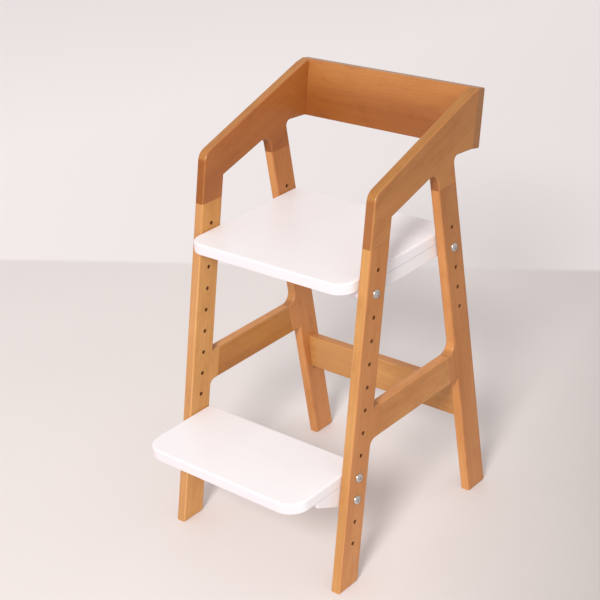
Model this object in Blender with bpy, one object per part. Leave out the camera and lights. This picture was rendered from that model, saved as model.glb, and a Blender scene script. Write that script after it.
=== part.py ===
"""Growing high chair: two wooden side frames, a backboard, a rear rail, a white seat and a white footrest.

Metres, +Z up, front towards -Y, standing on Z = 0, symmetric about X = 0.
Blender 4.5: blender --background --python part.py
"""
import math

import bmesh
import bpy
from mathutils import Matrix, Vector

# Overall sizes
FRAME_WIDTH = 0.404         # over the outer faces of the two side frames
PANEL = 0.020               # thickness of the frames, the boards and the rail
GAP = 0.0003                # clearance between pieces that touch
SIDE_GAP = 0.0005           # clearance beside the seat and the footrest

# Side frame, in the Y-Z plane
LEG_WIDTH = 0.050           # square to the leg
FRONT_LEAN = math.radians(13.2)
REAR_LEAN = math.radians(5.4)
FRONT_AXIS_Y = -0.1746      # middle of the front leg at the floor
REAR_AXIS_Y = 0.2177        # middle of the rear leg at the floor
ARM_SLOPE = 0.330           # rise of the arm's top edge per metre of depth
ARM_TOP_Z = 0.7051          # height of that edge where Y = 0
UNDER_SLOPE = 0.2824        # the same for the arm's underside
UNDER_Z = 0.6404
HEAD_TOP_Z = 0.7860         # flat top of the frame in front of the backboard
HEAD_FOOT_Z = 0.6839        # underside of the head block at the backboard
HEAD_FOOT_SLOPE = -0.090
BACK_LEAN = math.radians(12.2)
BACK_Y = 0.2314             # front face of the backboard at the height BACK_Z
BACK_Z = 0.6800
STRETCHER_Z = (0.2576, 0.3160)
ARM_SEAM_Z = 0.6030         # joint between the front leg and the arm
HEAD_SEAM_Z = 0.6400        # joint between the rear leg and the arm
FRONT_EAR = 0.018           # stub on the front leg that takes the stretcher
REAR_EAR = 0.024

# Rounding
RIM = 0.0030                # long edges of the wood
KNEE_ROUND = 0.025
HEAD_ROUND = 0.050
HEAD_FILLET = 0.010
APEX_FILLET = 0.018
STRETCHER_REAR_FILLET = 0.020
STRETCHER_FRONT_FILLET = 0.014
FRONT_FOOT_ROUND = 0.009
REAR_FOOT_ROUND = 0.005
ARC_STEP = math.radians(12)     # largest turn between two points of a round corner
BEVEL_STEPS = 3             # bands across a rounded rim
TURNED_SEGMENTS = 12        # round a pin or a hole
HEAD_SEGMENTS = 24          # round a bolt

# Adjustment holes
HOLE_PITCH = 0.040          # vertical, the same in both legs, so that the seat stays level
TOP_HOLE_Z = 0.5626
FRONT_HOLES = 13
REAR_HOLES = 5
HOLE_RADIUS = 0.0038
SEAT_HOLE = 1               # counted down from the top hole, which is 0
FOOTREST_HOLES = (9, 10)

# Backboard and rear rail
BACKBOARD_HEIGHT = 0.106
BACKBOARD_CORNER = 0.0025
BACKBOARD_FRONT_RIM = 0.0015
BACKBOARD_REAR_RIM = 0.0021   # less than the corners, or the rounded outline would cross itself
RAIL_Y = 0.2014             # middle of the rail's thickness
RAIL_Z = (0.1590, 0.2280)
RAIL_ROUND = 0.003

# Seat
SEAT_TOP_Z = 0.5523
SEAT_FRONT_Y = -0.1096
SEAT_REAR_Y = 0.1900
SEAT_CORNER = 0.031
SEAT_REAR_CORNER = 0.012
BOARD_TOP_ROUND = 0.0038
BOARD_FOOT_ROUND = 0.0009
SEAT_RAIL_WIDTH = 0.025
SEAT_RAIL_HEIGHT = 0.0232
SEAT_RAIL_Y = (-0.0690, 0.1890)
SEAT_RAIL_NOSE = 0.012      # round of its lower front corner
SEAT_RAIL_REAR_ROUND = 0.006
SEAT_RAIL_INNER_RIM = 0.0025
SEAT_RAIL_OUTER_RIM = 0.0008

# Footrest
FOOTREST_TOP_Z = 0.2112
FOOTREST_FRONT_Y = -0.2736
FOOTREST_REAR_Y = -0.0992
FOOTREST_CORNER = 0.038
BRACKET_FRONT_Y = -0.2156   # where the bracket's lower edge starts
BRACKET_SLOPE = -0.500
BRACKET_FOOT_Z = 0.1440
BRACKET_REAR_Y = -0.1028
BRACKET_NOSE = 0.010         # height of its blunt front end
BRACKET_ROUNDS = (0.005, 0.020, 0.010)   # front end, end of the slope, lower rear corner
BRACKET_RIMS = (0.0025, 0.001)           # inner face, outer face
FOOTREST_REAR_CORNER = 0.010

# Hardware
BOLT_RADIUS = 0.0030
BOLT_HEAD_RADIUS = 0.0080
BOLT_HEAD_HEIGHT = 0.0030
BOLT_DOME = ((1.0, 0.50), (0.95, 0.66), (0.78, 0.82), (0.48, 0.94), (0.15, 1.0), (0.0, 1.0))   # (rise, reach)
BOLT_REACH = 0.0160         # into the rail or the board, past the frame's inner face
SOCKET_APOTHEM = 0.0022
SOCKET_DEPTH = 0.0020
INSERT_LENGTH = 0.0130
INSERT_RADIUS = 0.0046
TENON_THICKNESS = 0.0080     # loose tenons, round at both edges
TENON_WIDTH = 0.024
TENON_LENGTH = 0.036
RAIL_TENON_SHIFT = 0.004    # from the joint into the rail
RAIL_TENON = {"width": 0.034, "length": 0.030}
BRACKET_TENON = {"width": 0.030, "length": 0.022, "thickness": 0.006}
BRACKET_TENON_Y = -0.160
SCREW_RADIUS = 0.0022
SCREW_HEAD_RADIUS = 0.0042
SCREW_SOCKET_APOTHEM = 0.0013
SCREW_SOCKET_DEPTH = 0.0015
SCREW_POINT = 0.004         # length of its tapered end
SCREW_TIP_RADIUS = 0.0006
BACKBOARD_SCREW_Z = 0.735   # middle of the pair
BACKBOARD_SCREW_RISE = 0.030
BACKBOARD_SCREW_LENGTH = 0.050
SEAT_SCREW_Y = (-0.020, 0.115)
SEAT_SCREW_LENGTH = 0.034
BOLT_CHAMFER = 0.001
DRILL_ROOM = 0.001          # by which a blind hole is deeper than what stands in it
OVERSHOOT = 0.002           # by which a drill starts outside the wood
CREASE_ANGLE = math.radians(32)

OUTER_X = FRAME_WIDTH / 2
INNER_X = OUTER_X - PANEL
MIDDLE_X = OUTER_X - PANEL / 2
SIDES = (("left", -1), ("right", 1))
JOINT_NAMES = {"arm": "arm_front", "head": "arm_rear", "front": "stretcher_front", "rear": "stretcher_rear"}


# ---------------------------------------------------------------- lines of the side frame
def front_leg_y(z, edge=0.0):
    """Y of the front leg at a height: edge -1 is its front edge, 0 its middle, 1 its rear edge."""
    return FRONT_AXIS_Y + z * math.tan(FRONT_LEAN) + edge * LEG_WIDTH / 2 / math.cos(FRONT_LEAN)


def rear_leg_y(z, edge=0.0):
    """Y of the rear leg at a height: edge -1 is its front edge, 0 its middle, 1 its rear edge."""
    return REAR_AXIS_Y - z * math.tan(REAR_LEAN) + edge * LEG_WIDTH / 2 / math.cos(REAR_LEAN)


def backboard_y(z):
    """Y of the backboard's front face at a height."""
    return BACK_Y + (z - BACK_Z) * math.tan(BACK_LEAN)


def hole_z(number):
    return TOP_HOLE_Z - number * HOLE_PITCH


def crossing(leg_y, edge, line_z, slope):
    """Point where a leg's edge meets the line z = line_z + slope * y."""
    lean = leg_y(1, edge) - leg_y(0, edge)
    z = (line_z + slope * leg_y(0, edge)) / (1 - slope * lean)
    return (leg_y(z, edge), z)


# ---------------------------------------------------------------- outlines and solids
def rounded_outline(corners):
    """Outline through (point, radius, free) corners, anticlockwise.

    free says whether the edge that leaves the corner is in the open, and so gets a rounded rim.
    Returns the points and, for each, whether the edge that leaves it is free.
    """
    points, free_edges = [], []
    count = len(corners)
    for i, (corner, radius, free) in enumerate(corners):
        here = Vector(corner)
        before_free = corners[i - 1][2]
        if radius == 0:
            points.append(here)
            free_edges.append(free)
            continue
        back = (Vector(corners[i - 1][0]) - here).normalized()
        ahead = (Vector(corners[(i + 1) % count][0]) - here).normalized()
        opening = back.angle(ahead)
        reach = radius / math.tan(opening / 2)
        centre = here + (back + ahead).normalized() * radius / math.sin(opening / 2)
        start = here + back * reach - centre
        turn = math.pi - opening
        if back.cross(ahead) > 0:
            turn = -turn
        steps = max(2, math.ceil(abs(turn) / ARC_STEP))
        for step in range(steps + 1):
            angle = turn * step / steps
            points.append(centre + Matrix.Rotation(angle, 2) @ start)
            free_edges.append(free if step == steps else before_free and free)
    return points, free_edges


def inset_outline(points, free_edges, distance):
    """The outline moved inwards by a distance along its free edges only."""
    moved = []
    for i, here in enumerate(points):
        before, after = points[i - 1], points[(i + 1) % len(points)]
        edge_in, edge_out = (here - before).normalized(), (after - here).normalized()
        normal_in, normal_out = Vector((-edge_in.y, edge_in.x)), Vector((-edge_out.y, edge_out.x))
        step_in = distance if free_edges[i - 1] else 0.0
        step_out = distance if free_edges[i] else 0.0
        spread = normal_in.cross(normal_out)
        if abs(spread) < 1e-6:
            moved.append(here + normal_in * max(step_in, step_out))
            continue
        x = (step_in * normal_out.y - step_out * normal_in.y) / spread
        y = (step_out * normal_in.x - step_in * normal_out.x) / spread
        moved.append(here + Vector((x, y)))
    return moved


def rim_levels(low, high, low_round, high_round, steps=BEVEL_STEPS):
    """(inset, height) pairs of a slab whose two rims are rounded."""
    levels = []
    for sign, base, radius in ((1, low, low_round), (-1, high, high_round)):
        if radius == 0:
            levels.append((0.0, base))
            continue
        arc = []
        for step in range(steps + 1):
            angle = math.pi / 2 * step / steps
            inset = radius * (1 - math.sin(angle))
            arc.append((inset, base + sign * radius * (1 - math.cos(angle))))
        levels.extend(arc if sign > 0 else reversed(arc))
    return levels


def slab(corners, levels, place):
    """Closed solid between the levels of an outline; place turns (u, v, height) into a point."""
    points, free_edges = rounded_outline(corners)
    mesh = bmesh.new()
    loops = []
    for inset, height in levels:
        outline = inset_outline(points, free_edges, inset) if inset else points
        loops.append([mesh.verts.new(place(p.x, p.y, height)) for p in outline])
    count = len(points)
    for low, high in zip(loops, loops[1:]):
        for i in range(count):
            j = (i + 1) % count
            mesh.faces.new((low[i], low[j], high[j], high[i]))
    mesh.faces.new(reversed(loops[0]))
    mesh.faces.new(loops[-1])
    return mesh


def turned(rings, start, direction, segments=TURNED_SEGMENTS, hollow=False):
    """Solid of revolution from (distance, radius, is_hexagon) rings along a direction.

    A hollow one is a sleeve: its last ring joins its first instead of each being capped.
    """
    mesh = bmesh.new()
    frame = Vector(direction).to_track_quat("Z", "Y").to_matrix()
    loops = []
    for distance, radius, is_hexagon in rings:
        loop = []
        for k in range(segments):
            angle = 2 * math.pi * k / segments
            reach = radius
            if is_hexagon:
                reach = radius / math.cos(angle % (math.pi / 3) - math.pi / 6)
            local = Vector((reach * math.cos(angle), reach * math.sin(angle), distance))
            loop.append(mesh.verts.new(Vector(start) + frame @ local))
        loops.append(loop)
    if hollow:
        loops.append(loops[0])
    else:
        mesh.faces.new(reversed(loops[0]))
        mesh.faces.new(loops[-1])
    for low, high in zip(loops, loops[1:]):
        for i in range(segments):
            j = (i + 1) % segments
            mesh.faces.new((low[i], low[j], high[j], high[i]))
    return mesh


def drill_between(start, end, radius):
    along = Vector(end) - Vector(start)
    return turned([(0, radius, False), (along.length, radius, False)], start, along)


def joined(meshes):
    """One bmesh that holds the separate closed solids of several."""
    whole = bmesh.new()
    for mesh in meshes:
        piece = bpy.data.meshes.new("piece")
        mesh.to_mesh(piece)
        mesh.free()
        whole.from_mesh(piece)
        bpy.data.meshes.remove(piece)
    return whole


def make(name, mesh, material, parent=None, drills=()):
    """Named object from a bmesh, with the drills cut out of it."""
    data = bpy.data.meshes.new(name)
    bmesh.ops.recalc_face_normals(mesh, faces=mesh.faces)
    mesh.to_mesh(data)
    mesh.free()
    data.materials.append(material)
    thing = bpy.data.objects.new(name, data)
    bpy.context.collection.objects.link(thing)
    if drills:
        cut(thing, joined(drills))
    thing.data.shade_smooth()
    thing.data.set_sharp_from_angle(angle=CREASE_ANGLE)
    if parent:
        thing.parent = parent
        thing.matrix_parent_inverse = parent.matrix_world.inverted()
    return thing


def cut(thing, drill_mesh):
    """Cuts the drills out of an object and keeps the result as its mesh."""
    bmesh.ops.recalc_face_normals(drill_mesh, faces=drill_mesh.faces)
    data = bpy.data.meshes.new("drill")
    drill_mesh.to_mesh(data)
    drill_mesh.free()
    drill = bpy.data.objects.new("drill", data)
    bpy.context.collection.objects.link(drill)
    boolean = thing.modifiers.new("drill", "BOOLEAN")
    boolean.operation = "DIFFERENCE"
    boolean.solver = "EXACT"
    boolean.object = drill
    bpy.context.view_layer.update()
    evaluated = thing.evaluated_get(bpy.context.evaluated_depsgraph_get())
    result = bpy.data.meshes.new_from_object(evaluated)
    thing.modifiers.clear()
    old = thing.data
    thing.data = result
    result.name = thing.name
    bpy.data.meshes.remove(old)
    bpy.data.objects.remove(drill)
    bpy.data.meshes.remove(data)


def principled(name, colour, roughness, metallic=0.0):
    material = bpy.data.materials.new(name)
    material.use_nodes = True
    shader = material.node_tree.nodes["Principled BSDF"]
    shader.inputs["Base Color"].default_value = (*colour, 1)
    shader.inputs["Roughness"].default_value = roughness
    shader.inputs["Metallic"].default_value = metallic
    material.diffuse_color = (*colour, 1)
    return material


# ---------------------------------------------------------------- hardware
def bolt(start, inward):
    """Furniture bolt with a low domed head and a hexagon socket; start is under its head."""
    length = PANEL + BOLT_REACH
    rings = [
        (-BOLT_HEAD_HEIGHT + SOCKET_DEPTH, SOCKET_APOTHEM, True),
        (-BOLT_HEAD_HEIGHT, SOCKET_APOTHEM, True),
    ]
    rings += [(-BOLT_HEAD_HEIGHT * rise, BOLT_HEAD_RADIUS * reach, False) for rise, reach in BOLT_DOME]
    rings += [
        (0, BOLT_RADIUS, False),
        (length - BOLT_CHAMFER, BOLT_RADIUS, False),
        (length, BOLT_RADIUS - BOLT_CHAMFER, False),
    ]
    return turned(rings, start, inward, HEAD_SEGMENTS)


def insert(start, inward):
    """Threaded sleeve, open at both ends, that a bolt screws into."""
    bore = BOLT_RADIUS + GAP
    rings = [
        (0, bore, False),
        (0, INSERT_RADIUS, False),
        (INSERT_LENGTH, INSERT_RADIUS, False),
        (INSERT_LENGTH, bore, False),
    ]
    return turned(rings, start, inward, hollow=True)


def screw(start, along, length):
    """Countersunk wood screw with a hexagon socket; start is the middle of its head's face."""
    head = SCREW_HEAD_RADIUS
    rings = [
        (SCREW_SOCKET_DEPTH, SCREW_SOCKET_APOTHEM, True),
        (0, SCREW_SOCKET_APOTHEM, True),
        (0, head, False),
        (head - SCREW_RADIUS, SCREW_RADIUS, False),
        (length - SCREW_POINT, SCREW_RADIUS, False),
        (length, SCREW_TIP_RADIUS, False),
    ]
    return turned(rings, start, along)


def screw_drill(start, along, length):
    """Hole for a screw, a little wider and deeper than the screw itself."""
    head = SCREW_HEAD_RADIUS + GAP
    shank = SCREW_RADIUS + GAP
    rings = [
        (-OVERSHOOT, head, False),
        (GAP, head, False),
        (GAP + head - shank, shank, False),
        (length + DRILL_ROOM, shank, False),
    ]
    return turned(rings, start, along)


def tenon(centre, along, wide, width=TENON_WIDTH, length=TENON_LENGTH, thickness=TENON_THICKNESS,
          slack=0.0):
    """Loose tenon with round edges, or with slack the mortise for it."""
    along, wide = Vector(along), Vector(wide)
    thick = along.cross(wide)
    half_width, half_thickness = width / 2 + slack, thickness / 2 + slack
    edge_round = half_thickness - GAP
    corners = [((u, v), edge_round, True) for u, v in (
        (-half_width, -half_thickness), (half_width, -half_thickness),
        (half_width, half_thickness), (-half_width, half_thickness))]
    reach = length / 2 + slack

    def place(u, v, height):
        return Vector(centre) + wide * u + thick * v + along * height

    return slab(corners, [(0, -reach), (0, reach)], place)


def mortise(joint):
    """Hole for a loose tenon, through both pieces that it joins."""
    return tenon(**joint, slack=GAP)


# ---------------------------------------------------------------- where the hardware goes
def frame_joints(side):
    """The loose tenon of each joint in one side frame."""
    x = side * MIDDLE_X
    up, back = (0, 0, 1), (0, 1, 0)
    middle = sum(STRETCHER_Z) / 2
    return {
        "arm": {"centre": (x, front_leg_y(ARM_SEAM_Z), ARM_SEAM_Z), "along": up, "wide": back},
        "head": {"centre": (x, rear_leg_y(HEAD_SEAM_Z), HEAD_SEAM_Z), "along": up, "wide": back},
        "front": {"centre": (x, front_leg_y(middle, 1) + FRONT_EAR, middle), "along": back, "wide": up},
        "rear": {"centre": (x, rear_leg_y(middle, -1) - REAR_EAR, middle), "along": back, "wide": up},
    }


def rail_joint(side):
    """The loose tenon at one end of the rear rail, mostly in the rail."""
    return {"centre": (side * (INNER_X - RAIL_TENON_SHIFT), RAIL_Y, sum(RAIL_Z) / 2),
            "along": (side, 0, 0), "wide": (0, 0, 1), **RAIL_TENON}


def backboard_screw_places(side):
    """Screws through the backboard into one frame: (start, direction, length)."""
    up = Vector((0, math.sin(BACK_LEAN), math.cos(BACK_LEAN)))
    forward = Vector((0, -math.cos(BACK_LEAN), math.sin(BACK_LEAN)))
    middle = Vector((side * MIDDLE_X, backboard_y(BACKBOARD_SCREW_Z), BACKBOARD_SCREW_Z))
    back = middle - forward * (PANEL + GAP)
    return [(back + up * rise, forward, BACKBOARD_SCREW_LENGTH)
            for rise in (-BACKBOARD_SCREW_RISE, BACKBOARD_SCREW_RISE)]


def seat_bolt_places(side):
    """(point on the frame's outer face, direction) of the two seat bolts on one side."""
    z = hole_z(SEAT_HOLE)
    start_x = side * (OUTER_X + GAP)
    return [((start_x, y, z), (-side, 0, 0)) for y in (front_leg_y(z), rear_leg_y(z))]


def footrest_bolt_places(side):
    start_x = side * (OUTER_X + GAP)
    heights = [hole_z(number) for number in FOOTREST_HOLES]
    return [((start_x, front_leg_y(z), z), (-side, 0, 0)) for z in heights]


def insert_start(place):
    """Start of the threaded insert that takes the bolt at a place."""
    (x, y, z), inward = place
    return (math.copysign(INNER_X - SIDE_GAP - 2 * GAP, x), y, z), inward


def insert_drill(place):
    """Blind stepped hole for an insert and for the end of its bolt."""
    start, inward = insert_start(place)
    step = INSERT_LENGTH + 3 * GAP
    rings = [
        (-2 * OVERSHOOT, INSERT_RADIUS + GAP, False),
        (step, INSERT_RADIUS + GAP, False),
        (step, BOLT_RADIUS + GAP, False),
        (BOLT_REACH + DRILL_ROOM, BOLT_RADIUS + GAP, False),
    ]
    return turned(rings, start, inward)


def seat_screw_places(side):
    """(start, direction, length) of the two screws up through one seat rail into the board."""
    x = side * (INNER_X - SIDE_GAP - SEAT_RAIL_WIDTH / 2)
    z = SEAT_TOP_Z - PANEL - GAP - SEAT_RAIL_HEIGHT
    return [(Vector((x, y, z)), Vector((0, 0, 1)), SEAT_SCREW_LENGTH) for y in SEAT_SCREW_Y]


def bracket_joint(side):
    """The loose tenon between the footrest board and one of its brackets."""
    return {"centre": (side * (INNER_X - SIDE_GAP - PANEL / 2), BRACKET_TENON_Y, FOOTREST_TOP_Z - PANEL),
            "along": (0, 0, 1), "wide": (0, 1, 0), **BRACKET_TENON}


# ---------------------------------------------------------------- the wooden side frames
def in_side_plane(y, z, x):
    return (x, y, z)


def side_levels(side):
    """Levels of a frame member, from its inner face to its outer face."""
    return [(inset, side * x) for inset, x in rim_levels(INNER_X, OUTER_X, RIM, RIM)]


def front_leg_outline():
    low, high = STRETCHER_Z
    return [
        ((front_leg_y(0, -1), 0), 0, True),
        ((front_leg_y(0, 1), 0), FRONT_FOOT_ROUND, True),
        ((front_leg_y(low, 1), low), STRETCHER_FRONT_FILLET, True),
        ((front_leg_y(low, 1) + FRONT_EAR, low), 0, False),
        ((front_leg_y(high, 1) + FRONT_EAR, high), 0, True),
        ((front_leg_y(high, 1), high), 0, True),
        ((front_leg_y(ARM_SEAM_Z, 1), ARM_SEAM_Z), 0, False),
        ((front_leg_y(ARM_SEAM_Z, -1), ARM_SEAM_Z), 0, True),
    ]


def rear_leg_outline():
    low, high = STRETCHER_Z
    return [
        ((rear_leg_y(0, -1), 0), 0, True),
        ((rear_leg_y(0, 1), 0), REAR_FOOT_ROUND, True),
        ((rear_leg_y(HEAD_SEAM_Z, 1), HEAD_SEAM_Z), 0, False),
        ((rear_leg_y(HEAD_SEAM_Z, -1), HEAD_SEAM_Z), 0, True),
        ((rear_leg_y(high, -1), high), STRETCHER_REAR_FILLET, True),
        ((rear_leg_y(high, -1) - REAR_EAR, high), 0, False),
        ((rear_leg_y(low, -1) - REAR_EAR, low), 0, True),
        ((rear_leg_y(low, -1), low), 0, True),
    ]


def stretcher_outline():
    low, high = STRETCHER_Z
    front, rear = FRONT_EAR + GAP, REAR_EAR + GAP
    return [
        ((front_leg_y(low, 1) + front, low), 0, True),
        ((rear_leg_y(low, -1) - rear, low), 0, False),
        ((rear_leg_y(high, -1) - rear, high), 0, True),
        ((front_leg_y(high, 1) + front, high), 0, False),
    ]


def arm_outline():
    arm_foot, head_foot = ARM_SEAM_Z + GAP, HEAD_SEAM_Z + GAP
    knee = crossing(front_leg_y, -1, ARM_TOP_Z, ARM_SLOPE)
    under_front = crossing(front_leg_y, 1, UNDER_Z, UNDER_SLOPE)
    under_rear = crossing(rear_leg_y, -1, UNDER_Z, UNDER_SLOPE)
    joint_foot = (backboard_y(HEAD_FOOT_Z) - GAP, HEAD_FOOT_Z)
    head_line_z = HEAD_FOOT_Z - HEAD_FOOT_SLOPE * joint_foot[0]
    behind_leg = crossing(rear_leg_y, 1, head_line_z, HEAD_FOOT_SLOPE)
    return [
        ((front_leg_y(arm_foot, -1), arm_foot), 0, False),
        ((front_leg_y(arm_foot, 1), arm_foot), 0, True),
        (under_front, 0, True),
        (under_rear, APEX_FILLET, True),
        ((rear_leg_y(head_foot, -1), head_foot), 0, False),
        ((rear_leg_y(head_foot, 1), head_foot), 0, True),
        (behind_leg, HEAD_FILLET, True),
        (joint_foot, 0, False),
        ((backboard_y(HEAD_TOP_Z) - GAP, HEAD_TOP_Z), 0, True),
        (((HEAD_TOP_Z - ARM_TOP_Z) / ARM_SLOPE, HEAD_TOP_Z), HEAD_ROUND, True),
        (knee, KNEE_ROUND, True),
    ]


def hole_drills(side, leg_y, count):
    """Adjustment holes through one leg."""
    inside, outside = side * (INNER_X - OVERSHOOT), side * (OUTER_X + OVERSHOOT)
    drills = []
    for number in range(count):
        z = hole_z(number)
        drills.append(drill_between((inside, leg_y(z), z), (outside, leg_y(z), z), HOLE_RADIUS))
    return drills


def side_frame(name, side, wood, tenon_wood):
    """The four members of one side frame and the tenons that join them."""
    levels = side_levels(side)
    joints = frame_joints(side)
    front_holes = hole_drills(side, front_leg_y, FRONT_HOLES)
    rear_holes = hole_drills(side, rear_leg_y, REAR_HOLES) + [mortise(rail_joint(side))]
    members = (
        ("front_leg", front_leg_outline(), front_holes, ("arm", "front")),
        ("rear_leg", rear_leg_outline(), rear_holes, ("head", "rear")),
        ("side_stretcher", stretcher_outline(), [], ("front", "rear")),
        ("arm", arm_outline(), screw_drills(side), ("arm", "head")),
    )
    for member, outline, drills, ends in members:
        drills = drills + [mortise(joints[end]) for end in ends]
        make(f"{name}_{member}", slab(outline, levels, in_side_plane), wood, drills=drills)
    for end, joint in joints.items():
        make(f"{name}_{JOINT_NAMES[end]}_tenon", tenon(**joint), tenon_wood)


def screw_drills(side):
    return [screw_drill(*place) for place in backboard_screw_places(side)]


# ---------------------------------------------------------------- backboard and rear rail
def backboard(wood):
    half = FRAME_WIDTH / 2
    corners = [((x, rise), BACKBOARD_CORNER, True) for x, rise in (
        (-half, 0), (half, 0), (half, BACKBOARD_HEIGHT), (-half, BACKBOARD_HEIGHT))]
    foot = Vector((0, backboard_y(HEAD_FOOT_Z), HEAD_FOOT_Z))
    turn = Matrix.Rotation(-BACK_LEAN, 3, "X")

    def place(x, rise, depth):
        return foot + turn @ Vector((x, depth, rise))

    mesh = slab(corners, rim_levels(0, PANEL, BACKBOARD_FRONT_RIM, BACKBOARD_REAR_RIM), place)
    drills = [drill for _, side in SIDES for drill in screw_drills(side)]
    make("backboard", mesh, wood, drills=drills)


def backboard_screws(steel):
    for name, side in SIDES:
        for level, place in zip(("lower", "upper"), backboard_screw_places(side)):
            make(f"{name}_{level}_backboard_screw", screw(*place), steel)


def rear_rail(wood, tenon_wood):
    low, high = RAIL_Z
    front, rear = RAIL_Y - PANEL / 2, RAIL_Y + PANEL / 2
    corners = [((front, low), RAIL_ROUND, True), ((rear, low), RAIL_ROUND, True),
               ((rear, high), RAIL_ROUND, True), ((front, high), RAIL_ROUND, True)]
    reach = INNER_X - GAP
    mesh = slab(corners, [(0, -reach), (0, reach)], in_side_plane)
    make("rear_rail", mesh, wood, drills=[mortise(rail_joint(side)) for _, side in SIDES])
    for name, side in SIDES:
        make(f"{name}_rear_rail_tenon", tenon(**rail_joint(side)), tenon_wood)


# ---------------------------------------------------------------- seat
def in_plan(x, y, z):
    return (x, y, z)


def board(front, rear, top, front_corner, rear_corner):
    """White board between the frames, with a softly rounded top rim."""
    half = INNER_X - SIDE_GAP
    corners = [((-half, front), front_corner, True), ((half, front), front_corner, True),
               ((half, rear), rear_corner, True), ((-half, rear), rear_corner, True)]
    return slab(corners, rim_levels(top - PANEL, top, BOARD_FOOT_ROUND, BOARD_TOP_ROUND), in_plan)


def seat(white, steel, brass):
    """Seat board, the two rails under it and their fasteners."""
    board_drills = []
    for name, side in SIDES:
        bolts = seat_bolt_places(side)
        screws = seat_screw_places(side)
        drills = [screw_drill(*place) for place in screws] + [insert_drill(place) for place in bolts]
        make(f"{name}_seat_rail", seat_rail(side), white, drills=drills)
        board_drills.extend(screw_drill(*place) for place in screws)
        for end, bolt_place, screw_place in zip(("front", "rear"), bolts, screws):
            make(f"{name}_{end}_seat_bolt", bolt(*bolt_place), steel)
            make(f"{name}_{end}_seat_insert", insert(*insert_start(bolt_place)), brass)
            make(f"{name}_{end}_seat_screw", screw(*screw_place), steel)
    mesh = board(SEAT_FRONT_Y, SEAT_REAR_Y, SEAT_TOP_Z, SEAT_CORNER, SEAT_REAR_CORNER)
    make("seat_board", mesh, white, drills=board_drills)


def seat_rail(side):
    inner, outer = INNER_X - SIDE_GAP - SEAT_RAIL_WIDTH, INNER_X - SIDE_GAP
    front, rear = SEAT_RAIL_Y
    high = SEAT_TOP_Z - PANEL - GAP
    low = high - SEAT_RAIL_HEIGHT
    corners = [((front, low), SEAT_RAIL_NOSE, True), ((rear, low), SEAT_RAIL_REAR_ROUND, True),
               ((rear, high), 0, False), ((front, high), 0, True)]
    levels = rim_levels(inner, outer, SEAT_RAIL_INNER_RIM, SEAT_RAIL_OUTER_RIM)
    return slab(corners, [(inset, side * x) for inset, x in levels], in_side_plane)


# ---------------------------------------------------------------- footrest
def bracket_outline():
    high = FOOTREST_TOP_Z - PANEL - GAP
    slope_end = BRACKET_FRONT_Y + (BRACKET_FOOT_Z - high + BRACKET_NOSE) / BRACKET_SLOPE
    return [
        ((BRACKET_FRONT_Y, high - BRACKET_NOSE), BRACKET_ROUNDS[0], True),
        ((slope_end, BRACKET_FOOT_Z), BRACKET_ROUNDS[1], True),
        ((BRACKET_REAR_Y, BRACKET_FOOT_Z), BRACKET_ROUNDS[2], True),
        ((BRACKET_REAR_Y, high), 0, False),
        ((BRACKET_FRONT_Y, high), 0, True),
    ]


def footrest(white, steel, brass, tenon_wood):
    """Footrest board, its brackets and its fasteners, all carried by one empty on the slide's line."""
    top_bolt_z = hole_z(FOOTREST_HOLES[0])
    slide = bpy.data.objects.new("footrest_slide", None)
    slide.location = (0, front_leg_y(top_bolt_z), top_bolt_z)
    slide.rotation_euler = (-FRONT_LEAN, 0, 0)
    bpy.context.collection.objects.link(slide)
    bpy.context.view_layer.update()
    inner, outer = INNER_X - SIDE_GAP - PANEL, INNER_X - SIDE_GAP
    levels = rim_levels(inner, outer, *BRACKET_RIMS)
    board_drills = []
    for name, side in SIDES:
        upper, lower = footrest_bolt_places(side)
        joint = bracket_joint(side)
        mesh = slab(bracket_outline(), [(inset, side * x) for inset, x in levels], in_side_plane)
        drills = [mortise(joint), insert_drill(lower)]
        make(f"{name}_footrest_bracket", mesh, white, slide, drills)
        make(f"{name}_footrest_tenon", tenon(**joint), tenon_wood, slide)
        for level, place in (("upper", upper), ("lower", lower)):
            make(f"{name}_{level}_footrest_bolt", bolt(*place), steel, slide)
            make(f"{name}_{level}_footrest_insert", insert(*insert_start(place)), brass, slide)
        board_drills.extend([insert_drill(upper), mortise(joint)])
    mesh = board(FOOTREST_FRONT_Y, FOOTREST_REAR_Y, FOOTREST_TOP_Z, FOOTREST_CORNER,
                 FOOTREST_REAR_CORNER)
    make("footrest_board", mesh, white, slide, board_drills)


# ---------------------------------------------------------------- the whole chair
def clear_scene():
    for thing in list(bpy.data.objects):
        bpy.data.objects.remove(thing, do_unlink=True)


def main():
    clear_scene()
    wood = principled("oiled_wood", (0.48, 0.19, 0.065), 0.42)
    tenon_wood = principled("beech_tenon", (0.62, 0.42, 0.24), 0.7)
    white = principled("white_lacquer", (0.84, 0.80, 0.79), 0.38)
    steel = principled("zinc_plated_steel", (0.62, 0.62, 0.60), 0.3, 1.0)
    brass = principled("insert_metal", (0.55, 0.47, 0.30), 0.4, 1.0)
    for name, side in SIDES:
        side_frame(name, side, wood, tenon_wood)
    backboard(wood)
    backboard_screws(steel)
    rear_rail(wood, tenon_wood)
    seat(white, steel, brass)
    footrest(white, steel, brass, tenon_wood)


main()
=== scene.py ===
"""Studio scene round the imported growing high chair: materials, floor, light and camera. Metres, +Z up."""

import math

import bmesh
import bpy
from mathutils import Matrix, Vector

# Smooth shading of the carried-over nodes
WELD_DISTANCE = 0.00002
SHARP_ANGLE = math.radians(33)
FLAT_ANGLE = math.radians(0.8)
NORMAL_WEIGHT = 100

# Lean of the legs and the slope of the arms, for the run of the grain
FRONT_LEAN = math.radians(13.2)
REAR_LEAN = math.radians(5.4)
ARM_SLOPE = math.radians(17.0)
BACK_LEAN = math.radians(12.2)

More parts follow.
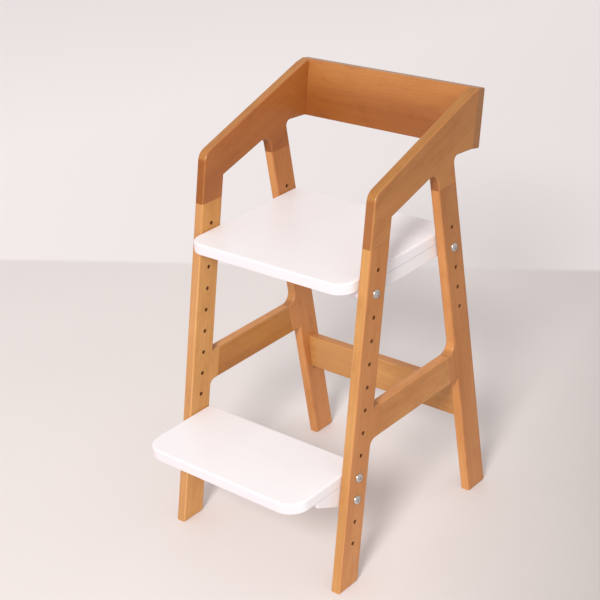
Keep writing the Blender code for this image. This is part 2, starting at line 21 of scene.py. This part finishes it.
# Camera
SENSOR_WIDTH = 36.0
CAMERA_PLACE = (1.57136, -1.70116, 1.56128)
CAMERA_YAW = 0.7514
CAMERA_PITCH = -0.4504
CAMERA_ROLL = -0.0844
CAMERA_NUDGE = (-0.00037, -0.00122)   # right and up, of the view's middle
CAMERA_LENS = 86.36

# Light: a round softbox and the even light of the room
SOFTBOX_PLACE = (2.75, -5.95, 5.00)
SOFTBOX_TARGET = (0.0, 0.0, 0.40)
SOFTBOX_SIZE = 2.2
SOFTBOX_POWER = 500.0
SOFTBOX_COLOUR = (1.0, 0.975, 0.96)
ROOM_COLOUR = (1.0, 0.975, 0.975, 1.0)
ROOM_STRENGTH = 0.72

# Colours of the wood before a piece's own stain, and the spacing of its growth rings
WOOD_LIGHT = (0.640, 0.290, 0.092)
WOOD_MIDDLE = (0.530, 0.212, 0.056)
WOOD_DARK = (0.340, 0.112, 0.026)
WOOD_WORN = (0.66, 0.32, 0.13)
RING_SPACING = 0.0062

# Middle of the growth rings, across the broad face and in depth
PLAIN_PITH = (0.045, -0.035)
BACKBOARD_PITH = (0.75, -0.05)
RAIL_PITH = (0.25, -0.05)

# Tint of the wooden pieces: heights between which it changes, tint at the lower one, tint at the upper
# one, and the tint of painted light and shade on the narrow faces
PLAIN_TINT = (0.0, 1.0, (1.0, 1.0, 1.0), (1.0, 1.0, 1.0), (1.0, 1.0, 1.0))
PIECE_TINTS = {
    "left_front_leg": (0.47, 0.60, (1.07, 1.24, 1.32), (1.00, 1.05, 0.86), (0.89, 0.98, 1.15)),
    "right_front_leg": (0.30, 0.60, (0.96, 0.93, 0.95), (0.90, 0.84, 0.79), (0.91, 1.01, 1.00)),
    "left_rear_leg": (0.40, 0.64, (0.98, 0.92, 0.92), (0.78, 0.66, 0.56), (1.0, 1.0, 1.0)),
    "right_rear_leg": (0.40, 0.64, (0.83, 0.76, 0.71), (0.71, 0.65, 0.59), (1.0, 1.0, 1.0)),
    "left_arm": (0.640, 0.700, (0.63, 0.48, 0.32), (0.68, 0.51, 0.34), (0.73, 0.71, 0.68)),
    "right_arm": (0.640, 0.700, (0.81, 0.76, 0.68), (0.77, 0.73, 0.64), (0.69, 0.70, 0.62)),
    "left_side_stretcher": (0.25, 0.32, (0.82, 0.82, 0.70), (0.82, 0.82, 0.70), (1.0, 1.0, 1.0)),
    "right_side_stretcher": (0.25, 0.32, (0.91, 0.91, 0.87), (0.91, 0.91, 0.87), (1.0, 1.0, 1.0)),
    "rear_rail": (0.16, 0.23, (0.90, 1.0, 1.05), (0.90, 1.0, 1.05), (0.9, 0.9, 0.9)),
    "backboard": (0.695, 0.785, (0.49, 0.35, 0.23), (0.75, 0.67, 0.56), (0.62, 0.69, 0.86)),
}

# Gloss of the narrow faces
EDGE_GLOSS = {"left_arm": 0.2, "right_arm": 0.2}
PLAIN_GLOSS = 0.5

# End grain: how far it takes its own colour, and that colour
PLAIN_END = (0.45, (0.300, 0.120, 0.045))
ENDS = {
    "left_arm": (0.80, (0.226, 0.059, 0.010)),
    "right_arm": (0.80, (0.288, 0.098, 0.034)),
}

# Painted shade in the corner where the rear rail's lower edge meets the left rear leg: middle on the piece's
# face, radius
RAIL_CORNER_SHADE = {"left_rear_leg": (((-0.182, 0.1985, 0.1552), 0.0045),)}
RAIL_CORNER_SHADE_COLOUR = (0.150, 0.045, 0.012)

# Lacquer: its two base shades, brush marks, rubbed rims, scuffs, and the painted shade on the faces towards
# the front, which the softbox lights most
LACQUER_PALE = (0.872, 0.848, 0.864)
LACQUER_DEEP = (0.848, 0.824, 0.836)
LACQUER_DRAG = (0.815, 0.775, 0.770)
LACQUER_RUBBED = (0.800, 0.740, 0.700)
LACQUER_SCUFF = (0.760, 0.715, 0.690)
LACQUER_FRONT_SHADE = (0.890, 0.825, 0.845)

# Metals: bright colour, dull colour, roughness
ZINC = ((0.70, 0.70, 0.69), (0.48, 0.48, 0.47), 0.26)
BRASS = ((0.62, 0.50, 0.28), (0.42, 0.34, 0.20), 0.34)

# Adjustment holes: a point on the line through their middles, their reach from it, colour of the painted
# shade on their walls
BORE_LINES = {"front_leg": (0.0, -0.1746, 0.0), "rear_leg": (0.0, 0.2177, 0.0)}
BORE_REACH = 0.006
BORE_EDGE = 0.001
BORE_SHADE_COLOUR = (0.190, 0.070, 0.026)

# The floor, and where it turns into the paler backdrop
FLOOR_SIZE = 14.0
FLOOR_PALE = (0.735, 0.685, 0.668)
FLOOR_DEEP = (0.710, 0.660, 0.643)
FLOOR_SPECK = (0.650, 0.605, 0.590)
BACKDROP_COLOUR = (0.870, 0.830, 0.822)
BACKDROP_NORMAL = (-0.486, 0.874, 0.0)
BACKDROP_DISTANCE = 1.062
BACKDROP_EDGE = 0.03
# Painted light and shade on the floor and on the backdrop, a brightness falling off across them: change per
# metre in X and Y, value at the origin, least, most
FLOOR_PAINTED_LIGHT = ((-0.778, -0.354, 0.0), 1.208, 0.70, 1.06)
BACKDROP_PAINTED_LIGHT = ((-0.088, 0.026, 0.0), 0.86, 0.82, 1.08)


# ---------------------------------------------------------------- node helpers
class Tree:
    """Short way to build a material's nodes."""

    def __init__(self, name):
        self.material = bpy.data.materials.new(name)
        self.material.use_nodes = True
        self.nodes = self.material.node_tree.nodes
        self.links = self.material.node_tree.links
        self.shader = self.nodes["Principled BSDF"]
        where = self.add("ShaderNodeTexCoord")
        self.place = where.outputs["Object"]
        self.normal = where.outputs["Normal"]

    def add(self, kind, **values):
        node = self.nodes.new(kind)
        for key, value in values.items():
            setattr(node, key, value)
        return node

    def put(self, socket, value):
        """Links a node's output into a socket, or sets the socket's value."""
        if isinstance(value, bpy.types.NodeSocket):
            self.links.new(value, socket)
        else:
            socket.default_value = value

    def math(self, operation, a, b=0.0):
        node = self.add("ShaderNodeMath", operation=operation)
        self.put(node.inputs[0], a)
        self.put(node.inputs[1], b)
        return node.outputs[0]

    def dot(self, a, b):
        node = self.add("ShaderNodeVectorMath", operation="DOT_PRODUCT")
        self.put(node.inputs[0], a)
        self.put(node.inputs[1], b)
        return node.outputs["Value"]

    def combine(self, x, y, z):
        node = self.add("ShaderNodeCombineXYZ")
        for socket, value in zip(node.inputs, (x, y, z)):
            self.put(socket, value)
        return node.outputs[0]

    def scaled(self, where, factors):
        node = self.add("ShaderNodeVectorMath", operation="MULTIPLY")
        self.put(node.inputs[0], where)
        self.put(node.inputs[1], factors)
        return node.outputs[0]

    def moved(self, where, offset):
        node = self.add("ShaderNodeVectorMath", operation="ADD")
        self.put(node.inputs[0], where)
        self.put(node.inputs[1], offset)
        return node.outputs[0]

    def noise(self, where, scale=1.0, detail=3.0, roughness=0.5):
        node = self.add("ShaderNodeTexNoise")
        self.put(node.inputs["Vector"], where)
        node.inputs["Scale"].default_value = scale
        node.inputs["Detail"].default_value = detail
        node.inputs["Roughness"].default_value = roughness
        return node.outputs["Fac"]

    def remap(self, value, low, high, new_low=0.0, new_high=1.0, smooth=False):
        node = self.add("ShaderNodeMapRange")
        if smooth:
            node.interpolation_type = "SMOOTHSTEP"
        self.put(node.inputs["Value"], value)
        numbers = (("From Min", low), ("From Max", high), ("To Min", new_low), ("To Max", new_high))
        for name, number in numbers:
            node.inputs[name].default_value = number
        return node.outputs["Result"]

    def mix(self, factor, a, b, blend="MIX"):
        node = self.add("ShaderNodeMix", data_type="RGBA", blend_type=blend)
        self.put(node.inputs["Factor"], factor)
        for socket, value in ((node.inputs["A"], a), (node.inputs["B"], b)):
            self.put(socket, (*value, 1) if isinstance(value, tuple) and len(value) == 3 else value)
        return node.outputs["Result"]

    def bump(self, height, distance, strength):
        node = self.add("ShaderNodeBump")
        node.inputs["Strength"].default_value = strength
        node.inputs["Distance"].default_value = distance
        self.put(node.inputs["Height"], height)
        self.put(self.shader.inputs["Normal"], node.outputs["Normal"])

    def set(self, **values):
        for name, value in values.items():
            self.put(self.shader.inputs[name.replace("_", " ")], value)


# ---------------------------------------------------------------- materials
def late_wood(t, local, across, through, pith):
    """Dark part of the growth rings: distance from the pith, wandering along the grain."""
    wander = t.noise(t.scaled(local, (1.6, 9.0, 9.0)), detail=2.0)
    fine_wander = t.noise(t.scaled(local, (7.0, 60.0, 60.0)), detail=2.0)
    to_side = t.math("SUBTRACT", across, pith[0])
    to_depth = t.math("SUBTRACT", through, pith[1])
    radius = t.math("SQRT", t.math("ADD", t.math("MULTIPLY", to_side, to_side),
                                   t.math("MULTIPLY", to_depth, to_depth)))
    radius = t.math("ADD", radius, t.math("MULTIPLY", wander, 0.050))
    radius = t.math("ADD", radius, t.math("MULTIPLY", fine_wander, 0.0022))
    ring = t.math("FRACT", t.math("MULTIPLY", radius, 1 / RING_SPACING))
    return t.math("MULTIPLY", t.remap(ring, 0.25, 0.93, 0, 1, smooth=True),
                  t.remap(ring, 0.93, 1.0, 1, 0, smooth=True))


def with_corner_shade(t, colour, shade_spot, grain, side, blotch):
    """The colour with one spot of painted shade, a little longer along the grain."""
    middle, size = shade_spot
    away = t.moved(t.place, tuple(-value for value in middle))
    lengthwise = t.math("MULTIPLY", t.dot(away, grain), 0.6)
    sideways = t.dot(away, side)
    away = t.math("SQRT", t.math("ADD", t.math("MULTIPLY", lengthwise, lengthwise),
                                 t.math("MULTIPLY", sideways, sideways)))
    away = t.math("ADD", away, t.math("MULTIPLY", t.math("SUBTRACT", blotch, 0.5), 0.006))
    return t.mix(t.remap(away, size, size * 0.25, 0, 0.75, smooth=True), colour, RAIL_CORNER_SHADE_COLOUR)


def with_piece_tint(t, colour, piece_tint, narrow):
    """The colour with the tint of one piece by height, and the painted light and shade on its narrow faces.
    """
    low_z, high_z, low_tint, high_tint, narrow_painted_light = piece_tint
    height = t.remap(t.dot(t.place, (0.0, 0.0, 1.0)), low_z, high_z, smooth=True)
    tint = t.mix(height, low_tint, high_tint)
    tint = t.mix(narrow, tint, narrow_painted_light)
    return t.mix(1.0, colour, tint, "MULTIPLY")


def with_bore_shade(t, colour, bore_line, across, side, narrow):
    """The colour with painted shade on the walls of the adjustment holes."""
    off_line = t.math("ABSOLUTE", t.math("SUBTRACT", across, Vector(bore_line).dot(side)))
    bore_shade = t.math("MULTIPLY", narrow, t.remap(off_line, BORE_REACH, BORE_REACH + BORE_EDGE, 1, 0))
    return t.mix(t.math("MULTIPLY", bore_shade, 0.85), colour, BORE_SHADE_COLOUR)


def wood_material(name, grain, side, seed, piece_tint=PLAIN_TINT, pith=PLAIN_PITH, edge_gloss=PLAIN_GLOSS,
                  end_grain=PLAIN_END, shade_spots=(), bore_line=None):
    """Stained and oiled wood. grain is the run of the fibres, side the direction across the broad face."""
    t = Tree(name)
    grain, side = Vector(grain).normalized(), Vector(side).normalized()
    depth = grain.cross(side)
    along = t.dot(t.place, grain)
    across = t.dot(t.place, side)
    through = t.dot(t.place, depth)
    local = t.moved(t.combine(along, across, through), (seed * 1.37, seed * 0.61, seed * 0.29))
    late = late_wood(t, local, across, through, pith)

    # Fibres, pores and cloudy uptake of the stain
    fibre = t.noise(t.scaled(local, (14.0, 900.0, 900.0)), detail=3.0, roughness=0.6)
    streak = t.noise(t.scaled(local, (2.2, 85.0, 85.0)), detail=3.0, roughness=0.55)
    cloud = t.noise(t.scaled(local, (4.0, 15.0, 15.0)), detail=2.0, roughness=0.6)
    blotch = t.noise(t.scaled(local, (22.0, 45.0, 45.0)), detail=4.0, roughness=0.65)
    pore = t.remap(t.noise(t.scaled(local, (120.0, 2200.0, 2200.0)), detail=1.0), 0.64, 0.72, 0, 1)

    # End grain where the surface faces along the fibres, narrow faces, and the rims where it turns
    end = t.math("ABSOLUTE", t.dot(t.normal, grain))
    end = t.remap(end, 0.72, 0.90, 0, 1, smooth=True)
    broad = t.math("ABSOLUTE", t.dot(t.normal, depth))
    narrow = t.remap(broad, 0.20, 0.55, 1, 0, smooth=True)
    rim = t.math("MULTIPLY", t.remap(broad, 0.12, 0.45, 0, 1, smooth=True),
                 t.remap(broad, 0.80, 0.99, 1, 0, smooth=True))

    colour = t.mix(t.remap(cloud, 0.30, 0.72), WOOD_LIGHT, WOOD_MIDDLE)
    colour = t.mix(t.remap(blotch, 0.50, 0.78, 0, 0.40), colour, WOOD_DARK)
    colour = t.mix(t.math("MULTIPLY", late, 0.11), colour, WOOD_DARK)
    colour = t.mix(t.remap(streak, 0.50, 0.80, 0, 0.20), colour, WOOD_DARK)
    colour = t.mix(t.remap(streak, 0.50, 0.20, 0, 0.22), colour, WOOD_LIGHT)
    colour = t.mix(t.remap(fibre, 0.35, 0.75, 0, 0.14), colour, WOOD_DARK)
    colour = t.mix(t.math("MULTIPLY", pore, 0.30), colour, WOOD_DARK)
    # painted shade spots in corners between parts
    for shade_spot in shade_spots:
        colour = with_corner_shade(t, colour, shade_spot, grain, side, blotch)
    wear = t.remap(t.noise(t.scaled(local, (18.0, 60.0, 60.0))), 0.45, 0.75, 0, 0.45)
    colour = t.mix(t.math("MULTIPLY", rim, wear), colour, WOOD_WORN)
    # tint by height, and painted light and shade on the narrow faces
    colour = with_piece_tint(t, colour, piece_tint, narrow)
    end_share, end_colour = end_grain
    colour = t.mix(t.math("MULTIPLY", end, end_share), colour, end_colour)
    # painted shade inside the adjustment holes
    if bore_line:
        colour = with_bore_shade(t, colour, bore_line, across, side, narrow)

    rough = t.remap(streak, 0.3, 0.7, 0.34, 0.44)
    rough = t.math("ADD", rough, t.math("MULTIPLY", end, 0.20))
    rough = t.math("SUBTRACT", rough, t.math("MULTIPLY", rim, 0.05))
    gloss = t.remap(narrow, 0.0, 1.0, PLAIN_GLOSS, edge_gloss)
    t.set(Base_Color=colour, Roughness=rough, IOR=1.42, Specular_IOR_Level=gloss,
          Coat_Weight=t.remap(rim, 0.0, 1.0, 0.10, 0.55), Coat_Roughness=t.remap(rim, 0.0, 1.0, 0.18, 0.10))
    relief = t.math("ADD", t.math("MULTIPLY", fibre, 0.6), t.math("MULTIPLY", late, 0.5))
    relief = t.math("SUBTRACT", relief, t.math("MULTIPLY", pore, 0.8))
    t.bump(relief, 0.00010, 0.55)
    return t.material


def lacquer_material(name, seed):
    """White satin lacquer over board, with faint brush marks and slightly rubbed rims."""
    t = Tree(name)
    local = t.moved(t.place, (seed * 0.83, seed * 0.47, seed * 0.31))
    peel = t.noise(local, scale=520.0, detail=2.0)
    cloud = t.noise(local, scale=11.0, detail=3.0)
    drag = t.noise(t.scaled(local, (9.0, 260.0, 260.0)), detail=3.0)
    scuff = t.remap(t.noise(t.scaled(local, (70.0, 160.0, 90.0)), detail=4.0, roughness=0.7), 0.66, 0.78)
    up = t.math("ABSOLUTE", t.dot(t.normal, (0.0, 0.0, 1.0)))
    rim = t.math("MULTIPLY", t.remap(up, 0.15, 0.5, 0, 1, smooth=True),
                 t.remap(up, 0.75, 0.99, 1, 0, smooth=True))
    colour = t.mix(t.remap(cloud, 0.3, 0.7), LACQUER_PALE, LACQUER_DEEP)
    colour = t.mix(t.remap(drag, 0.45, 0.75, 0, 0.25), colour, LACQUER_DRAG)
    rubbed = t.math("MULTIPLY", rim, t.remap(t.noise(local, scale=70.0), 0.5, 0.75, 0, 0.45))
    colour = t.mix(rubbed, colour, LACQUER_RUBBED)
    colour = t.mix(t.math("MULTIPLY", scuff, 0.18), colour, LACQUER_SCUFF)
    # painted shade: faces turned towards the front are darkened against the softbox's strong light on them
    front = t.remap(t.dot(t.normal, (0.0, -1.0, 0.0)), 0.30, 0.85, smooth=True)
    colour = t.mix(front, colour, t.mix(1.0, colour, LACQUER_FRONT_SHADE, "MULTIPLY"))
    rough = t.remap(cloud, 0.3, 0.7, 0.36, 0.44)
    rough = t.math("ADD", rough, t.math("MULTIPLY", scuff, 0.14))
    t.set(Base_Color=colour, Roughness=rough, IOR=1.5, Coat_Weight=0.10, Coat_Roughness=0.30)
    height = t.math("ADD", peel, t.math("MULTIPLY", drag, 0.5))
    t.bump(height, 0.00006, 0.45)
    return t.material


def metal_material(name, colour, dull, rough):
    """Plated or plain turned metal with fine scratches and dull patches."""
    t = Tree(name)
    grit = t.noise(t.place, scale=2600.0, detail=2.0)
    patch = t.noise(t.place, scale=420.0, detail=3.0)
    scratch = t.noise(t.scaled(t.place, (900.0, 5200.0, 700.0)), detail=2.0)
    base = t.mix(t.remap(patch, 0.35, 0.72), colour, dull)
    base = t.mix(t.remap(scratch, 0.55, 0.75, 0, 0.35), base, dull)
    shine = t.math("ADD", t.remap(patch, 0.3, 0.7, rough - 0.06, rough + 0.12),
                   t.remap(grit, 0.4, 0.7, 0, 0.06))
    t.set(Base_Color=base, Roughness=shine, Metallic=1.0)
    t.bump(t.math("ADD", grit, scratch), 0.00003, 0.35)
    return t.material


def painted_light_factor(t, painted_fall):
    """Grey factor of painted light and shade that changes evenly over the floor, between a least and a most
    value.
    """
    slope, start, least, most = painted_fall
    value = t.remap(t.dot(t.place, slope), least - start, most - start, least, most)
    return t.combine(value, value, value)


def floor_material():
    """Pale studio floor that turns into a paler backdrop beyond a line, both with painted light and shade
    falling off across them.
    """
    t = Tree("studio_floor")
    cloud = t.noise(t.place, scale=1.3, detail=3.0)
    speck = t.noise(t.place, scale=240.0, detail=2.0)
    colour = t.mix(t.remap(cloud, 0.3, 0.7), FLOOR_PALE, FLOOR_DEEP)
    far = t.dot(t.place, BACKDROP_NORMAL)
    far = t.remap(far, BACKDROP_DISTANCE, BACKDROP_DISTANCE + BACKDROP_EDGE, 0, 1, smooth=True)
    # painted light and shade: floor and backdrop colours brighten and darken across the ground
    near_colour = t.mix(1.0, colour, painted_light_factor(t, FLOOR_PAINTED_LIGHT), "MULTIPLY")
    far_colour = t.mix(1.0, BACKDROP_COLOUR, painted_light_factor(t, BACKDROP_PAINTED_LIGHT), "MULTIPLY")
    colour = t.mix(far, near_colour, far_colour)
    colour = t.mix(t.remap(speck, 0.5, 0.8, 0, 0.10), colour, FLOOR_SPECK)
    t.set(Base_Color=colour, Roughness=0.62, IOR=1.45)
    t.bump(speck, 0.0001, 0.2)
    return t.material


# ---------------------------------------------------------------- the chair
def member_grain(member):
    """Run of the grain, and the direction across the broad face, of a wooden piece."""
    runs = {
        "front_leg": (0, math.sin(FRONT_LEAN), math.cos(FRONT_LEAN)),
        "rear_leg": (0, -math.sin(REAR_LEAN), math.cos(REAR_LEAN)),
        "arm": (0, math.cos(ARM_SLOPE), math.sin(ARM_SLOPE)),
        "side_stretcher": (0, 1, 0),
    }
    grain = Vector(runs[member])
    return grain, grain.cross(Vector((1, 0, 0)))


def assign(node, material):
    """Gives a carried-over node its material and smooth shading between its sharp edges."""
    mesh = node.data
    mesh.materials.clear()
    mesh.materials.append(material)
    mesh.shade_smooth()
    if mesh.has_custom_normals:
        bpy.context.view_layer.objects.active = node
        with bpy.context.temp_override(object=node, active_object=node):
            bpy.ops.mesh.customdata_custom_splitnormals_clear()
    weld = node.modifiers.new("weld", "WELD")
    weld.merge_threshold = WELD_DISTANCE
    flat = node.modifiers.new("flat_faces", "DECIMATE")
    flat.decimate_type = "DISSOLVE"
    flat.angle_limit = FLAT_ANGLE
    split = node.modifiers.new("crease", "EDGE_SPLIT")
    split.split_angle = SHARP_ANGLE
    weighted = node.modifiers.new("weighted", "WEIGHTED_NORMAL")
    weighted.mode = "FACE_AREA"
    weighted.weight = NORMAL_WEIGHT
    weighted.keep_sharp = True


def node_material(name, seed, shared):
    """The material of one node, told by its name. shared holds the materials of the small hidden pieces."""
    member = name.partition("_")[2]
    if "tenon" in name:
        return shared["tenon"]
    if name.endswith("_insert"):
        return shared["brass"]
    if name.endswith(("_bolt", "_screw")):
        return shared["zinc"]
    if name == "backboard":
        up = (0, math.sin(BACK_LEAN), math.cos(BACK_LEAN))
        return wood_material("wood_backboard", (1, 0, 0), up, seed, PIECE_TINTS[name], pith=BACKBOARD_PITH)
    if name == "rear_rail":
        return wood_material("wood_rear_rail", (1, 0, 0), (0, 0, 1), seed, PIECE_TINTS[name], pith=RAIL_PITH)
    if member in ("front_leg", "rear_leg", "arm", "side_stretcher"):
        grain, side = member_grain(member)
        return wood_material("wood_" + name, grain, side, seed, PIECE_TINTS[name],
                             edge_gloss=EDGE_GLOSS.get(name, PLAIN_GLOSS),
                             end_grain=ENDS.get(name, PLAIN_END), shade_spots=RAIL_CORNER_SHADE.get(name, ()),
                             bore_line=BORE_LINES.get(member))
    return lacquer_material("lacquer_" + name, seed)


def dress_nodes(nodes):
    """Materials for all nodes. Each wooden and each lacquered piece has its own, so their figure differs."""
    shared = {
        "tenon": wood_material("beech", (0, 0, 1), (0, 1, 0), 9.1),
        "zinc": metal_material("zinc_plate", *ZINC),
        "brass": metal_material("insert_metal", *BRASS),
    }
    for seed, name in enumerate(sorted(nodes), start=2):
        assign(nodes[name], node_material(name, seed, shared))


# ---------------------------------------------------------------- studio
def studio():
    """Floor, even room light and one softbox."""
    mesh = bpy.data.meshes.new("studio_floor")
    plane = bmesh.new()
    bmesh.ops.create_grid(plane, x_segments=8, y_segments=8, size=FLOOR_SIZE)
    plane.to_mesh(mesh)
    plane.free()
    mesh.materials.append(floor_material())
    floor = bpy.data.objects.new("studio_floor", mesh)
    bpy.context.scene.collection.objects.link(floor)

    world = bpy.data.worlds.new("soft_room")
    world.use_nodes = True
    background = world.node_tree.nodes["Background"]
    background.inputs["Color"].default_value = ROOM_COLOUR
    background.inputs["Strength"].default_value = ROOM_STRENGTH
    bpy.context.scene.world = world

    light = bpy.data.lights.new("softbox", "AREA")
    light.shape = "DISK"
    light.size = SOFTBOX_SIZE
    light.energy = SOFTBOX_POWER
    light.color = SOFTBOX_COLOUR
    lamp = bpy.data.objects.new("softbox", light)
    lamp.location = SOFTBOX_PLACE
    aim = Vector(SOFTBOX_TARGET) - Vector(SOFTBOX_PLACE)
    lamp.rotation_euler = aim.to_track_quat("-Z", "Y").to_euler()
    bpy.context.scene.collection.objects.link(lamp)


def camera():
    """Camera from its place, its yaw, pitch and roll, and the nudge of its view's middle."""
    yaw, pitch, roll = CAMERA_YAW, CAMERA_PITCH, CAMERA_ROLL
    forward = Vector((-math.sin(yaw) * math.cos(pitch), math.cos(yaw) * math.cos(pitch), math.sin(pitch)))
    level = Vector((math.cos(yaw), math.sin(yaw), 0))
    upright = level.cross(forward)
    right = level * math.cos(roll) + upright * math.sin(roll)
    up = upright * math.cos(roll) - level * math.sin(roll)
    forward = (forward + right * CAMERA_NUDGE[0] + up * CAMERA_NUDGE[1]).normalized()
    right = (right - forward * right.dot(forward)).normalized()
    up = right.cross(forward)
    data = bpy.data.cameras.new("camera")
    data.lens = CAMERA_LENS
    data.sensor_width = SENSOR_WIDTH
    eye = bpy.data.objects.new("camera", data)
    turn = Matrix((right, up, -forward)).transposed().to_4x4()
    eye.matrix_world = Matrix.Translation(CAMERA_PLACE) @ turn
    bpy.context.scene.collection.objects.link(eye)
    bpy.context.scene.camera = eye


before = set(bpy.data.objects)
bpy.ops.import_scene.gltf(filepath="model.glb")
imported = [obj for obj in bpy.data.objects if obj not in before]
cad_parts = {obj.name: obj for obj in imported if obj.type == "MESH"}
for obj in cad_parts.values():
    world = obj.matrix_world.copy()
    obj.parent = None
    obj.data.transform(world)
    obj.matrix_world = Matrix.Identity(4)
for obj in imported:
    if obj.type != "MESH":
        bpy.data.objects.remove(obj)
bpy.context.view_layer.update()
dress_nodes(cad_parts)
studio()
camera()
bpy.context.scene.view_settings.view_transform = "Standard"
